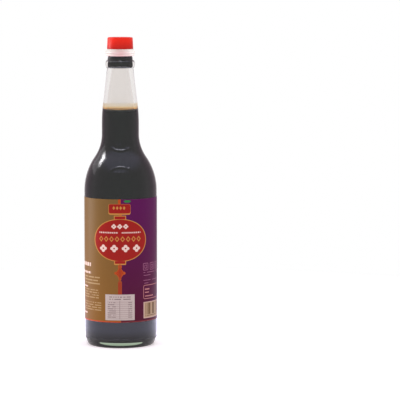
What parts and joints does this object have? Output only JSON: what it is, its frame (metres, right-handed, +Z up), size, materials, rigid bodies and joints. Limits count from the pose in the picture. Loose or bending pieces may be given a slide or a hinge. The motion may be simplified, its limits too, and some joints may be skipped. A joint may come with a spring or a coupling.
{
  "type": "soy sauce bottle",
  "caption": "Tall round glass bottle of dark sauce with a long tapered neck, a white pour collar, a red cap and a wrap label.",
  "frame": {"origin": "middle of the ring that the bottle stands on, at table level", "axes": "+Z up along the bottle's axis, -Y towards the front of the label, +X to its right"},
  "size_m": [0.0722, 0.0725, 0.3058],
  "materials": {
    "clear_glass": "gloss",
    "dark_sauce": "liquid",
    "white_plastic": "satin",
    "red_plastic": "satin",
    "label_paper": "printed satin paper",
    "sticker_paper": "matt paper"
  },
  "bodies": {
    "root": {"glass_bottle": "clear_glass", "soy_sauce": "dark_sauce", "clinging_sauce": "dark_sauce", "pour_collar": "white_plastic", "cap": "red_plastic", "wrap_label": "label_paper", "facts_sticker": "sticker_paper"}
  },
  "joints": []
}
